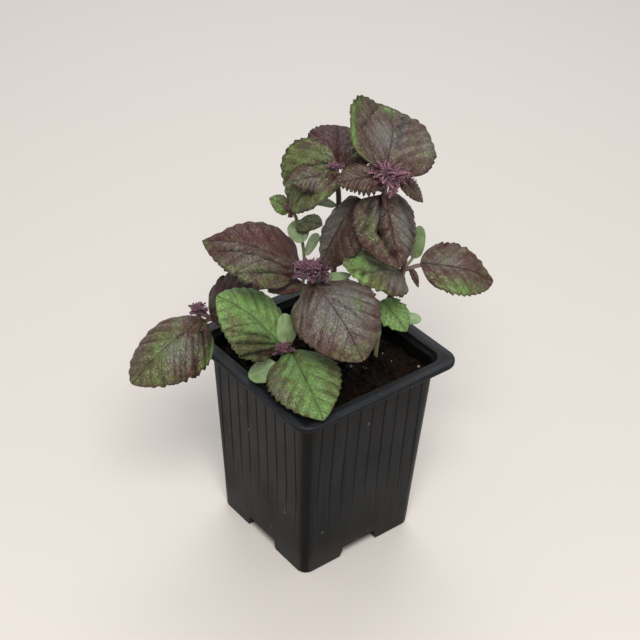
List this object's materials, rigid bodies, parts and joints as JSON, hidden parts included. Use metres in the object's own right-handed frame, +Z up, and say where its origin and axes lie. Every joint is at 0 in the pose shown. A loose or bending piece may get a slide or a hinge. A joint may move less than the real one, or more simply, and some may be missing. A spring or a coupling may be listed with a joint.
{
  "type": "potted shiso",
  "caption": "square nursery pot of compost holding a cluster of young red and green shiso stems with toothed, crinkled leaves",
  "frame": {"origin": "on the ground plane z = 0 under the centre of the square pot", "axes": "+Z up, +X and +Y square to the pot's sides; the tallest stem leans toward +Y and one low leaf reaches past the rim toward -Y"},
  "size_m": [0.0962, 0.1545, 0.2044],
  "materials": {
    "charcoal_plastic": "semi-matt moulded charcoal plastic",
    "compost": "moist dark crumbly compost; fabric stands in for a loose soft material",
    "purple_leaf": "satin purple leaf with green flecks; fabric stands in for soft plant tissue",
    "green_leaf": "satin bright green leaf; fabric stands in for soft plant tissue"
  },
  "bodies": {
    "root": {"pot": "charcoal_plastic", "soil": "compost", "tall_stem": "purple_leaf", "back_stem": "purple_leaf", "centre_stem": "purple_leaf", "left_stem": "purple_leaf", "front_stem": "green_leaf", "right_stem": "green_leaf", "sprig_stem": "green_leaf"}
  },
  "joints": []
}
